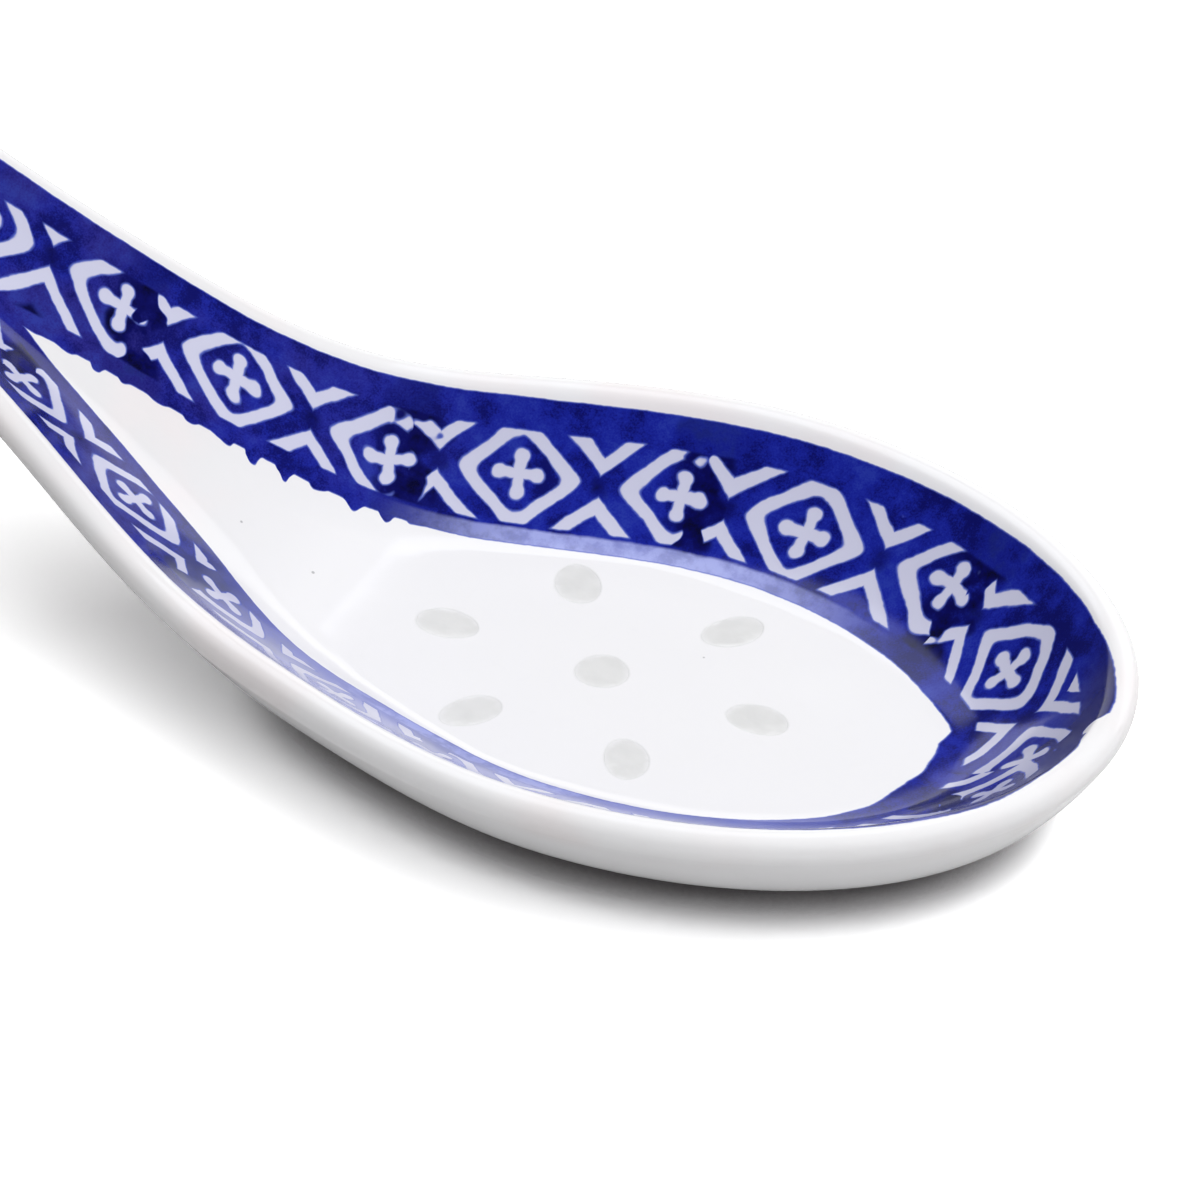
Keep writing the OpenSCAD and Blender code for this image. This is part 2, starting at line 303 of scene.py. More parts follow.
FAR_MIDDLE = ([0, 6.4, 12.3, 17.9, 21, 27, 33, 39, 42, 47, 53, 58, 61.5, 66, 72, 77.5, 82, 87, 100, 135],
    [6.7, 7.8, 7.7, 6.8, 6.1, 7.0, 7.3, 7.1, 6.8, 6.8, 6.4, 5.9, 6.6, 5.5, 4.9, 4.6, 4.5, 3.9, 4.3, 4.3])
NEAR_STAMPS = [144.5, 124.5, 104.3, 84.4, 65.3, 45.1, 24.9, 4.7, -15.5]
NEAR_EDGE = ([0, 0.9, 4, 4.7, 6.4, 7.8, 20, 40, 52, 66, 78, 90, 135],
    [0.9, 0.5, 0.45, 0.28, 0.1, 0.0, 0.5, 0.9, 0.8, 0.85, 1.0, 0.6, 0.4])
NEAR_END = ([0, 3, 6.4, 10, 15, 30, 45, 55, 60, 66, 73, 80, 84, 87, 92, 135],
    [14.5, 14.7, 14.4, 13.6, 12.9, 11.9, 11.3, 10.6, 10.1, 9.5, 9.0, 9.1, 9.3, 9.7, 10.7, 10.9])
NEAR_MIDDLE = ([0, 20, 40, 55, 64, 72.4, 83, 95, 135], [6.8, 6.6, 6.8, 6.8, 6.5, 5.6, 4.9, 4.4, 4.3])
BORDER_W = 10.4  # width of a strip at which its pattern has its full size
PAST_TIP = 20  # each strip runs on past the tip, within this run of it


def strip_place(run_along, depth, stamps, edge, end, middle):
    """Three numbers for each point of a strip: which stamp it is in, counted on with its share of the
    stamp; how far down the strip, from 0 at its upper edge to 1 at its lower one; and millimetres from its
    middle line, times the root of how much narrower the strip is than at full size."""
    order = np.argsort(stamps)
    run_along = np.broadcast_to(run_along[:, None], depth.shape)
    number = np.interp(run_along, np.array(stamps)[order], np.arange(len(stamps))[order])
    upper, lower = np.interp(run_along, *edge), np.interp(run_along, *end)
    share = (depth - upper) / (lower - upper)
    off = (depth - np.interp(run_along, *middle)) * np.sqrt(BORDER_W / (lower - upper))
    return np.stack([number, share, off], -1)


# The whole loop of sections: back along the left side, then forward along the right one. The far strip
# runs on a little past the tip on the right side, and the near one on the left
loop = looped(half, [1, -1, 1])
depth = looped(from_crest, 1)
past_tip = np.where(along < PAST_TIP, -along, along)
far_place = strip_place(np.concatenate([along, past_tip[-2:0:-1]]), depth,
    FAR_STAMPS, FAR_EDGE, FAR_END, FAR_MIDDLE)
near_place = strip_place(np.concatenate([past_tip, along[-2:0:-1]]), depth,
    NEAR_STAMPS, NEAR_EDGE, NEAR_END, NEAR_MIDDLE)

# The same three numbers for a point above both strips, and for one below them, in the bowl's floor
OFF_BORDER, PAST_BORDER = np.array([0.0, -3.0, 40.0]), np.array([0.0, 9.0, 40.0])


class Clay:
    """Points, faces, border places and nearness to a pierced grain of one piece, gathered patch by patch."""

    def __init__(self):
        self.points, self.faces, self.far, self.near, self.glow, self.total = [], [], [], [], [], 0

    def add(self, points, faces, far=OFF_BORDER, near=OFF_BORDER, glow=0.0):
        """One patch; what holds for all its points may be given once."""
        points = np.asarray(points, float).reshape(-1, 3)
        self.points.append(points)
        self.faces += (np.asarray(faces) + self.total).tolist()
        for store, place in ((self.far, far), (self.near, near)):
            store.append(np.broadcast_to(place, points.shape) if place.ndim == 1 else place.reshape(-1, 3))
        self.glow.append(np.broadcast_to(glow, (len(points),)))
        self.total += len(points)

    def grid(self, points, far=OFF_BORDER, near=OFF_BORDER, turn=False, glow=0.0):
        """A sheet of points, closed round its first direction, as four-sided faces."""
        around, across = points.shape[:2]
        i, j = np.meshgrid(np.arange(around), np.arange(across - 1), indexing="ij")
        a, b = i * across + j, (i + 1) % around * across + j
        quads = np.stack([a, a + 1, b + 1, b] if turn else [a, b, b + 1, a + 1], -1).reshape(-1, 4)
        self.add(points, quads, far, near, np.broadcast_to(glow, (around, across)).ravel())


WELD, SLIVER = 2e-6, 1e-8  # metres within which points are one, and under which an edge is none


def make_piece(name, clay):
    """A mesh from the gathered patches, in metres, its shared points joined and its faces smooth."""
    mesh = bpy.data.meshes.new(name)
    mesh.from_pydata((np.concatenate(clay.points) / 1000).tolist(), [], clay.faces)
    for title, values in (("far_strip", clay.far), ("near_strip", clay.near)):
        layer = mesh.attributes.new(title, "FLOAT_VECTOR", "POINT")
        layer.data.foreach_set("vector", np.concatenate(values).astype(np.float32).ravel())
    layer = mesh.attributes.new("grain_glow", "FLOAT", "POINT")
    layer.data.foreach_set("value", np.concatenate(clay.glow).astype(np.float32))
    work = bmesh.new()
    work.from_mesh(mesh)
    bmesh.ops.remove_doubles(work, verts=work.verts, dist=WELD)
    bmesh.ops.dissolve_degenerate(work, edges=work.edges, dist=SLIVER)
    work.to_mesh(mesh)
    work.free()
    mesh.polygons.foreach_set("use_smooth", np.ones(len(mesh.polygons), bool))
    mesh.update()
    piece = bpy.data.objects.new(name, mesh)
    bpy.context.scene.collection.objects.link(piece)
    return piece


# The seven grains: middle, turn, half length and half width of each, and where its unevenness starts
GRAIN_POINTS, UNEVEN = 64, 0.02
grain_angle = np.arange(GRAIN_POINTS) * 2 * np.pi / GRAIN_POINTS
grains = [(FLOWER_X, 0.0, 0.0, CENTRE_R, CENTRE_R, 0.4)]
for n in range(6):
    x = FLOWER_REACH * np.cos(np.pi * n / 3)
    y = FLOWER_SIDE * np.sin(np.pi * n / 3) / np.sin(np.pi / 3)
    grains.append((FLOWER_X + x, y, np.arctan2(y, x), PETAL_A, PETAL_B, 1.3 * n + 0.9))


def grain_ring(grain, spread, share):
    """Plan points round a grain: a share of its oval, made a little uneven by two slow waves, and spread by
    a distance."""
    x, y, turn, a, b, phase = grain
    waves = np.cos(2 * grain_angle + phase) + np.cos(3 * grain_angle + 2 * phase)
    uneven = 1 - 2 * UNEVEN + UNEVEN * waves
    u = (a * uneven * share + spread) * np.cos(grain_angle)
    v = (b * uneven * share + spread) * np.sin(grain_angle)
    return np.stack([x + u * np.cos(turn) - v * np.sin(turn), y + u * np.sin(turn) + v * np.cos(turn)], -1)


def inside(points, ring):
    """Which points lie inside a closed ring, by the sum of the angles that its sides subtend."""
    a = ring[None] - points[:, None]
    b = np.roll(ring, -1, axis=0)[None] - points[:, None]
    turn = np.arctan2(a[..., 0] * b[..., 1] - a[..., 1] * b[..., 0], (a * b).sum(-1)).sum(1)
    return np.abs(turn) > np.pi


PLATE_A, PLATE_B = 22, 14  # half length and half width of the field of spare points
SPARE_PITCH, SPARE_GAP = 1.1, 0.6  # from one spare point to the next, and to a ring
TOUCH, NO_AREA = 1e-7, 1e-9  # within which points are one, and under which a face is none


def pierced_plate(edge_ring, spread, share, height, upwards):
    """Triangles between an outer ring and the rings of the seven grains, with points spread evenly between:
    a constrained Delaunay triangulation, less the faces outside the ring or in a grain."""
    rings = [edge_ring] + [grain_ring(g, spread, share) for g in grains]
    fixed = np.concatenate(rings)
    edges, start = [], 0
    for ring in rings:
        n = np.arange(len(ring))
        edges += np.stack([start + n, start + (n + 1) % len(ring)], 1).tolist()
        start += len(ring)
    gx, gy = np.meshgrid(np.arange(-PLATE_A, PLATE_A, SPARE_PITCH), np.arange(-PLATE_B, PLATE_B, SPARE_PITCH))
    gx[1::2] += SPARE_PITCH / 2
    spare = np.stack([gx.ravel(), gy.ravel()], 1)
    gap = np.linalg.norm(spare[:, None] - fixed[None], axis=2).min(1)
    spare = spare[inside(spare, edge_ring) & (gap > SPARE_GAP)]
    for ring in rings[1:]:
        spare = spare[~inside(spare, ring)]
    corners = [Vector(p) for p in np.concatenate([fixed, spare])]
    points, _, faces, *_ = delaunay_2d_cdt(corners, edges, [], 1, TOUCH)
    points, faces = np.array([tuple(p) for p in points]), np.array(faces)
    middle = points[faces].mean(1)
    keep = inside(middle, edge_ring)
    for ring in rings[1:]:
        keep &= ~inside(middle, ring)
    faces = faces[keep]
    side = points[faces]
    area = np.cross(side[:, 1] - side[:, 0], side[:, 2] - side[:, 0])
    whole = np.abs(area) > NO_AREA
    faces, area = faces[whole], area[whole]
    flip = (area > 0) != upwards
    faces[flip] = faces[flip][:, ::-1]
    return raised(points, height(points[:, 0])), faces


# A grain's hole, from the floor down: spread beyond the grain, share of its size, height, and how much of
# the window's grey shines through the body there
HOLE_SPREAD = np.array([0.2, 0.14, 0.09, 0.05, 0.02, 0.0, 0.0, 0.0, 0.0, 0.02, 0.08, 0.16, 0.3])
HOLE_SHARES = np.array([1, 1, 1, 1, 1, 1, 0.95, 0.9, 0.86, 0.86, 0.86, 0.86, 0.86])
HOLE_HEIGHT = np.array([4.2, 4.1995, 4.1985, 4.197, 4.195, 4.192, 3.1, 2.2, 1.72, 1.55, 1.455, 1.415, 1.4])
HOLE_GLOW = np.array([0.0, 0.25, 0.55, 0.8, 0.95, 1.0, 1.0, 1.0, 1.0, 0.9, 0.6, 0.3, 0.0])

clay = Clay()
clay.grid(loop, far_place, near_place, turn=True)
plan = oval(FOOT_A + FOOT_SPREAD[None], FOOT_B + FOOT_SPREAD[None], looped(foot_angle, -1)[:, None])
stretch = looped(half[: foot_end + 1, -1, 2], 1)[:, None] / UNDER_Z
stretch = np.where(np.arange(len(FOOT_RISE)) < FLARE_ROWS, stretch, 1.0)
foot_sheet = raised(plan, FOOT_RISE[None] * stretch)
foot_sheet[foot_end, :, 1] = 0.0
foot_sheet[0, :, 1] = 0.0
foot_sheet[:, 0, :2] = looped(under_end[: foot_end + 1], [1, -1])
clay.grid(foot_sheet, turn=True)
patch_ring = looped(floor_end[: patch_end + 1], [1, -1])
clay.add(*pierced_plate(patch_ring, HOLE_SPREAD[0], HOLE_SHARES[0], floor_at, True), PAST_BORDER, PAST_BORDER)
clay.add(*pierced_plate(foot_sheet[:, -1, :2], HOLE_SPREAD[-1], HOLE_SHARES[-1], recess_at, False))
for grain in grains:
    ring = np.stack([grain_ring(grain, a, b) for a, b in zip(HOLE_SPREAD, HOLE_SHARES)], 1)
    tall = np.broadcast_to(HOLE_HEIGHT, ring.shape[:2]).copy()
    tall[:, :2] += floor_at(ring[:, :2, 0]) - FLOOR_Z
    clay.grid(raised(ring, tall), PAST_BORDER, PAST_BORDER, glow=HOLE_GLOW)
body = make_piece("spoon_body", clay)


def joined(tree, socket, value):
    """Puts a number, colour or another node's output on a socket."""
    if isinstance(value, bpy.types.NodeSocket):
        tree.links.new(value, socket)
    elif value is not None:
        socket.default_value = value


def maths(tree, operation, *values):
    """One Math node's result."""
    node = tree.nodes.new("ShaderNodeMath")
    node.operation = operation
    for socket, value in zip(node.inputs, values):
        joined(tree, socket, value)
    return node.outputs[0]


def times(tree, *values):
    """The product of two or more values."""
    product = values[0]
    for value in values[1:]:
        product = maths(tree, "MULTIPLY", product, value)
    return product


def scaled(tree, value, factor, added):
    """A value times a factor, and a number added."""
    return maths(tree, "MULTIPLY_ADD", value, factor, added)


def larger(tree, first, second):
    """The larger of two values: of two masks, either."""
    return maths(tree, "MAXIMUM", first, second)


def without(tree, mask, taken):
    """A mask less what another takes away from it."""
    return times(tree, mask, maths(tree, "SUBTRACT", 1.0, taken))


def between(tree, value, low, high):
    """0 below low, 1 above high, and a smooth step in between; the other way round if low is above high."""
    node = tree.nodes.new("ShaderNodeMapRange")
    node.interpolation_type = "SMOOTHSTEP"
    joined(tree, node.inputs["Value"], value)
    for title, end, out in (("Min", min(low, high), low > high), ("Max", max(low, high), low <= high)):
        node.inputs["From " + title].default_value = end
        node.inputs["To " + title].default_value = float(out)
    return node.outputs["Result"]


def noise(tree, place, size, detail=2.0, rough=0.5, colour=False):
    """A cloud pattern whose patches are about the given number of millimetres across."""
    node = tree.nodes.new("ShaderNodeTexNoise")
    joined(tree, node.inputs["Vector"], place)
    node.inputs["Scale"].default_value = 1000 / size
    node.inputs["Detail"].default_value = detail
    node.inputs["Roughness"].default_value = rough
    return node.outputs["Color" if colour else "Fac"]


def split(tree, vector):
    """The three numbers of a vector or a colour."""
    node = tree.nodes.new("ShaderNodeSeparateXYZ")
    joined(tree, node.inputs[0], vector)
    return node.outputs


def attribute(tree, name):
    """What the mesh carries under a name."""
    node = tree.nodes.new("ShaderNodeAttribute")
    node.attribute_name = name
    return node.outputs


def blended(tree, share, first, second):
    """A mix of two colours by a share."""
    node = tree.nodes.new("ShaderNodeMix")
    node.data_type = "RGBA"
    joined(tree, node.inputs[0], share)
    for socket, value in ((node.inputs[6], first), (node.inputs[7], second)):
        joined(tree, socket, (*value, 1.0) if isinstance(value, tuple) else value)
    return node.outputs[2]


def new_group(title, inputs, outputs):
    """An empty node group with named sockets."""
    tree = bpy.data.node_groups.new(title, "ShaderNodeTree")
    for direction, sockets in (("INPUT", inputs), ("OUTPUT", outputs)):
        for name, kind in sockets:
            tree.interface.new_socket(name=name, in_out=direction, socket_type="NodeSocket" + kind)
    return tree, tree.nodes.new("NodeGroupInput").outputs, tree.nodes.new("NodeGroupOutput").inputs


# What the glaze does everywhere: it lies in slow ripples, with a fine orange peel and a few pinholes
glaze_group, given, gives = new_group("glaze_surface", [("Place", "Vector"), ("Ripple", "Float")],
    [("Height", "Float"), ("Roughness", "Float")])
tree = glaze_group
slow = noise(tree, given["Place"], size=9.0, detail=1.0)
peel = noise(tree, given["Place"], size=1.6, detail=2.0)
pits = between(tree, noise(tree, given["Place"], size=0.7, detail=0.0), 0.14, 0.1)
waves = times(tree, scaled(tree, peel, 0.05, slow), given["Ripple"])
joined(tree, gives["Height"], maths(tree, "SUBTRACT", waves, times(tree, pits, 0.02)))
joined(tree, gives["Roughness"], scaled(tree, noise(tree, given["Place"], size=5.0, detail=3.0), 0.06, 0.1))

# The stamp of the border: a solid band along its upper edge, a lattice of crossed lines below it with a
# white frame and a four-lobed cross in each full cell and a chevron in each half one, and a closing line.
# Its sizes are in millimetres, and its shares are of the strip's width, counted down from the upper edge
STAMP_L = 20.2
CELL_L = 11.3  # from one cell's middle to the next
FIRST_CELL = 12.65  # from the stamp's start to a cell's middle
SLOPE = 1.1  # slant of the crossed lines
CORNER = 0.2  # how much the frames' corners are rounded, squared
SWAY, SHAKE = 0.55, 0.12  # the print's slow and quick unevenness
EDGE_SWAY_SHARE, EDGE_SHAKE_SHARE, DOWN_SWAY_SHARE, DOWN_SHAKE_SHARE = 0.012, 0.008, 0.022, 0.01
ARM_L, ARM_W, LOBE_W = 1.3, 0.42, 0.13  # a cross's arm: its length, half width and what its lobe adds to that
BLOT_REACH = 5.0  # how much of a lap's width the fullest cloud of white takes back
KNOBS, KNOB_SWAY = 8.6, 5.0  # knobs on the lower edge of one stamp, and how unevenly they follow, in radians
DRIP_SHARE, DRIP_LESS_SHARE = 0.26, -0.03  # the longest drip, and what comes off each

# Each pair gives the place where something isn't there, and the place where it is full. From the crossed
# lines: the white frame's two edges, and the pool round a cross
FRAME_INNER, FRAME_OUTER, CROSS_POOL = (0.7, 1.12), (2.5, 2.08), (3.4, 4.4)
# From a cell's middle: the lobes and the edge of its cross, the crumbs, and the pool where lines cross
LOBES, CROSS_EDGE, CRUMB_RING, CRUMB_ABOVE = (0.75, 1.25), (0.17, -0.17), (8.9, 9.15), (0.0, -0.5)
CROSSING_ALONG, CROSSING_OFF = (4.6, 5.5), (1.1, 0.2)
# From a lap: what swallows the frames, what swallows the crosses, and the pool
LAP, CROSS_LAP, LAP_POOL = (3.6, 3.2), (2.2, 1.9), (5.0, 3.6)
# Down the strip: its two edges, the lattice's two edges, all below the band, and the closing line
TOP_EDGE_SHARES, LOWER_EDGE_SHARES = (-0.01, 0.012), (1.012, 0.988)
LATTICE_TOP_SHARES, LATTICE_END_SHARES = (0.2, 0.228), (0.87, 0.842)
FIELD_SHARES, CLOSING_SHARES = (0.1, 0.24), (0.87, 0.9)
# From the strip's middle line: a point on no strip lies 40 mm off
OFF_STRIP = (30.0, 20.0)

stamp_group, given, gives = new_group("lattice_stamp",
    [("Strip", "Vector"), ("Place", "Vector"), ("Ragged", "Float"), ("Crumbs", "Float")],
    [("Ink", "Float"), ("Print", "Float"), ("Pool", "Float"), ("Field", "Float"), ("Closing", "Float")])
tree = stamp_group
number, down, off = split(tree, given["Strip"])
sway = split(tree, noise(tree, given["Place"], size=2.6, detail=1.0, colour=True))
shake = split(tree, noise(tree, given["Place"], size=0.5, detail=1.0, colour=True))


def shaken(socket, axis, slow_by, fine_by):
    """A place in the stamp, moved by the slow and the quick unevenness, by half of each at most."""
    swayed = scaled(tree, sway[axis], slow_by, socket)
    return maths(tree, "SUBTRACT", scaled(tree, shake[axis], fine_by, swayed), (slow_by + fine_by) / 2)


def rounded(socket):
    """The size of a number, with its point at zero rounded off: the root of its square and a little more."""
    return maths(tree, "SQRT", scaled(tree, socket, socket, CORNER))


number = shaken(number, 0, SWAY / STAMP_L, SHAKE / STAMP_L)
off = shaken(off, 1, SWAY, SHAKE)
edge = shaken(down, 2, EDGE_SWAY_SHARE, EDGE_SHAKE_SHARE)
down = shaken(down, 2, DOWN_SWAY_SHARE, DOWN_SHAKE_SHARE)
stamp = times(tree, maths(tree, "FRACT", number), STAMP_L)
from_cell = maths(tree, "SUBTRACT", stamp, FIRST_CELL)
across = maths(tree, "ABSOLUTE", maths(tree, "WRAP", from_cell, CELL_L / 2, -CELL_L / 2))
tall = maths(tree, "ABSOLUTE", off)

# Lozenges round each cell's middle, with rounded corners: the crossed lines lie half a cell out
rings = scaled(tree, rounded(off), SLOPE, rounded(across))
from_line = maths(tree, "ABSOLUTE", maths(tree, "SUBTRACT", rings, CELL_L / 2))
frame_white = times(tree, between(tree, from_line, *FRAME_INNER), between(tree, from_line, *FRAME_OUTER))

# The cross: four arms with round ends and a waist, from the distance to the arm's middle line. The next
# stamp's first cross reaches back over this one's end
to_next = maths(tree, "ABSOLUTE", maths(tree, "SUBTRACT", stamp, FIRST_CELL - CELL_L + STAMP_L))
to_cross = maths(tree, "MINIMUM", across, to_next)
lobe = larger(tree, to_cross, tall)
beside = maths(tree, "MINIMUM", to_cross, tall)
past = larger(tree, maths(tree, "SUBTRACT", lobe, ARM_L), 0.0)
arm = maths(tree, "SQRT", maths(tree, "ADD", times(tree, past, past), times(tree, beside, beside)))
thick = scaled(tree, between(tree, lobe, *LOBES), LOBE_W, ARM_W)
cross_white = between(tree, maths(tree, "SUBTRACT", arm, thick), *CROSS_EDGE)
crumb_white = times(tree, between(tree, rings, *CRUMB_RING), between(tree, off, *CRUMB_ABOVE),
    given["Crumbs"])

# Where one stamp laps over the next, blots of thick cobalt swallow part of the frames and less of the
# crosses
blots = noise(tree, given["Place"], size=2.0, detail=0.8)
to_lap = maths(tree, "MINIMUM", stamp, maths(tree, "SUBTRACT", STAMP_L, stamp))
to_lap = scaled(tree, blots, BLOT_REACH, to_lap)
lattice = times(tree, between(tree, down, *LATTICE_TOP_SHARES), between(tree, down, *LATTICE_END_SHARES))
frame_white = without(tree, larger(tree, frame_white, crumb_white), between(tree, to_lap, *LAP))
cross_white = without(tree, cross_white, between(tree, to_lap, *CROSS_LAP))
white = times(tree, larger(tree, frame_white, cross_white), lattice)

# Cobalt pools darker in the laps, where lines cross and round the crosses
pool = times(tree, between(tree, to_lap, *LAP_POOL), scaled(tree, lattice, 0.7, 0.3))
round_cross = times(tree, between(tree, from_line, *CROSS_POOL), lattice, between(tree, blots, 0.45, 0.62))
crossing = times(tree, between(tree, across, *CROSSING_ALONG), between(tree, tall, *CROSSING_OFF), 0.7)
pool = larger(tree, larger(tree, pool, round_cross), crossing)

# Where the lower edge is ragged, drips of uneven length hang from it
knobs = scaled(tree, sway[1], KNOB_SWAY, times(tree, number, 2 * np.pi * KNOBS))
knobs = between(tree, maths(tree, "SINE", knobs), -0.35, 1.25)
drip_share = scaled(tree, noise(tree, given["Place"], size=3.6, detail=0.0), DRIP_SHARE, DRIP_LESS_SHARE)
below = maths(tree, "SUBTRACT", edge, times(tree, knobs, given["Ragged"], drip_share))
covered = times(tree, between(tree, edge, *TOP_EDGE_SHARES), between(tree, below, *LOWER_EDGE_SHARES),
    between(tree, tall, *OFF_STRIP))
joined(tree, gives["Ink"], without(tree, covered, white))
joined(tree, gives["Print"], covered)
joined(tree, gives["Pool"], pool)
joined(tree, gives["Field"], between(tree, down, *FIELD_SHARES))
joined(tree, gives["Closing"], between(tree, down, *CLOSING_SHARES))

# Whites and greys: in the bowl, painted darker up the handle as shade, between the print, where the lip
# flushes, the bare foot, a speck, and a grain window, clear and cloudy
WHITE, HANDLE_SHADE_WHITE = (0.865, 0.862, 0.878), (0.785, 0.78, 0.793)
PRINT_WHITE, PINK = (0.6, 0.605, 0.76), (0.845, 0.78, 0.785)
BARE, SPECK = (0.80, 0.76, 0.70), (0.25, 0.24, 0.26)
WINDOW_GREY, WINDOW_CLOUD = (0.712, 0.714, 0.709), (0.745, 0.746, 0.742)

# Blues of the cobalt: as it is printed, in pale and dark patches, pooled, by the handle, thinly printed or
# paled as a painted reflection, and where it bleeds into the glaze
BLUE, BLUE_PALE = (0.0075, 0.0155, 0.31), (0.028, 0.055, 0.4)
BLUE_DARK, BLUE_NIGHT = (0.001, 0.0015, 0.09), (0.0006, 0.0006, 0.03)
BLUE_VIOLET, BLUE_THIN_AND_SHEEN, BLEED = (0.022, 0.018, 0.19), (0.38, 0.42, 0.79), (0.09, 0.13, 0.52)
GLAZE_IOR = 1.43
RIPPLES = 0.00012  # full height of the glaze's waves, in metres

# How much of each finish shows where it is strongest
VIOLET_SHARE, PALE_SHARE, DARK_SHARE, TIP_SHARE, NEAR_SHEEN_SHARE = 0.8, 0.45, 0.85, 0.8, 0.58
PINK_SHARE, SPECK_SHARE, WINDOW_SHARE = 0.5, 0.6, 0.62
TIP_ROUGH, BARE_ROUGH = 0.2, 0.55

# Places on the spoon, in metres: where each finish isn't there, and where it is full. Forward of the foot's
# middle, or behind it:
KNOBS_FROM, KNOBS_TO, KNOBS_LONG = (-0.014, -0.02), (-0.041, -0.036), (-0.029, -0.022)
# Where the near strip is painted paler as a reflection, and where the closing line is painted as highlight
NEAR_SHEEN_FROM, NEAR_SHEEN_TO = (-0.029, -0.013), (0.028, 0.012)
STREAKS_AND_HIGHLIGHT_FROM, STREAKS_AND_HIGHLIGHT_TO = (-0.019, -0.008), (0.019, 0.003)
# Behind the foot's middle: the warmer blue, and the white painted darker as shade
VIOLET_BEHIND, HANDLE_SHADE_BEHIND = (-0.008, -0.034), (-0.012, -0.034)
CRUMBS_AHEAD, SEAM_AHEAD = (0.006, 0.034), (0.015, 0.02)
DULL_AHEAD, DARK_AHEAD = (0.029, 0.034), (0.0315, 0.036)
# To the right of the middle, and up from the table:
NEAR_SHEEN_RIGHT, PINK_ABOVE, BARE_BELOW = (0.0, -0.004), (0.0075, 0.0095), (0.00022, 0.0001)


def material(name):
    """A new material with one shader, as its tree and the shader's sockets."""
    made = bpy.data.materials.new(name)
    made.use_nodes = True
    made.node_tree.nodes.clear()
    shader = made.node_tree.nodes.new("ShaderNodeBsdfPrincipled")
    output = made.node_tree.nodes.new("ShaderNodeOutputMaterial")
    made.node_tree.links.new(shader.outputs[0], output.inputs["Surface"])
    return made, made.node_tree, shader.inputs


def used_group(tree, group, **values):
    """A node group placed in a material with its own values."""
    node = tree.nodes.new("ShaderNodeGroup")
    node.node_tree = group
    for name, value in values.items():
        joined(tree, node.inputs[name], value)
    return node.outputs


def bumped(tree, height, distance):
    """A surface direction bent by a height, whose full step is the given number of metres."""
    node = tree.nodes.new("ShaderNodeBump")
    node.inputs["Strength"].default_value = 1.0
    node.inputs["Distance"].default_value = distance
    joined(tree, node.inputs["Height"], height)
    return node.outputs["Normal"]


# East is towards the tip, and north to the left
porcelain, tree, shader = material("cobalt_bordered_porcelain")
here = tree.nodes.new("ShaderNodeTexCoord").outputs["Object"]
east, north, up = split(tree, here)


def stretch_of(first_end, other_end):
    """A mask for one stretch along the spoon, soft at both ends."""
    return times(tree, between(tree, east, *first_end), between(tree, east, *other_end))


# The far strip's lower edge has run into knobs along the neck, longer ones towards the bowl, and its half
# cells by the tip keep a crumb of white
ragged = times(tree, stretch_of(KNOBS_FROM, KNOBS_TO),
    scaled(tree, between(tree, east, *KNOBS_LONG), 0.7, 0.35))
crumbs = between(tree, east, *CRUMBS_AHEAD)
far = used_group(tree, stamp_group, Strip=attribute(tree, "far_strip")["Vector"], Place=here,
    Ragged=ragged, Crumbs=crumbs)
near = used_group(tree, stamp_group, Strip=attribute(tree, "near_strip")["Vector"], Place=here,
    Ragged=0.0, Crumbs=0.0)

# The far strip ends where the near one begins: on the middle line, and at the tip a little to its left
SEAM_LEFT, SEAM_SOFT = 0.0006, 0.00006
seam = times(tree, between(tree, east, *SEAM_AHEAD), SEAM_LEFT)
on_far = between(tree, maths(tree, "SUBTRACT", north, seam), -SEAM_SOFT, SEAM_SOFT)


def either(title):
    """What the far strip's stamp gives left of the seam, and the near one's right of it."""
    mixed = tree.nodes.new("ShaderNodeMix")
    for socket, value in zip(mixed.inputs[0:4], (on_far, None, near[title], far[title])):
        joined(tree, socket, value)
    return mixed.outputs[0]


ink, printed, pooled = either("Ink"), either("Print"), either("Pool")
field, closing = either("Field"), either("Closing")

# The cobalt: uneven washes with soft dark blots and a fine grain, darkest at the tip and warmer by the
# handle
washes = noise(tree, here, size=6.5, detail=3.0, rough=0.55)
blotches = noise(tree, here, size=1.9, detail=4.0, rough=0.65)
grit = noise(tree, here, size=0.13, detail=1.0)
tone = scaled(tree, washes, 0.42, scaled(tree, blotches, 0.42, times(tree, grit, 0.16)))
violet = times(tree, between(tree, east, *VIOLET_BEHIND), between(tree, washes, 0.35, 0.6), VIOLET_SHARE)
blue = blended(tree, violet, BLUE, BLUE_VIOLET)
blue = blended(tree, times(tree, between(tree, tone, 0.5, 0.62), PALE_SHARE), blue, BLUE_PALE)
blue = blended(tree, times(tree, between(tree, tone, 0.53, 0.4), DARK_SHARE), blue, BLUE_DARK)
blue = blended(tree, times(tree, between(tree, east, *DARK_AHEAD), TIP_SHARE), blue, BLUE_DARK)
blue = blended(tree, times(tree, pooled, between(tree, blotches, 0.3, 0.5)), blue, BLUE_DARK)
blue = blended(tree, times(tree, pooled, between(tree, blotches, 0.48, 0.66)), blue, BLUE_NIGHT)

# On the right, from the neck to near the tip, the strip is painted paler: a painted reflection of the white
# sheen that the glaze shows on the steep wall there. Beside the bowl's floor the closing line of both strips
# is pale and streaked, partly thinly printed and partly a painted highlight of the softbox
near_painted_sheen = times(tree, stretch_of(NEAR_SHEEN_FROM, NEAR_SHEEN_TO), between(tree, north, *NEAR_SHEEN_RIGHT), NEAR_SHEEN_SHARE, field)
streaks_and_highlight = times(tree, stretch_of(STREAKS_AND_HIGHLIGHT_FROM, STREAKS_AND_HIGHLIGHT_TO),
    scaled(tree, between(tree, blotches, 0.36, 0.6), 0.32, 0.62))
blue = blended(tree, larger(tree, near_painted_sheen, times(tree, closing, streaks_and_highlight)), blue, BLUE_THIN_AND_SHEEN)
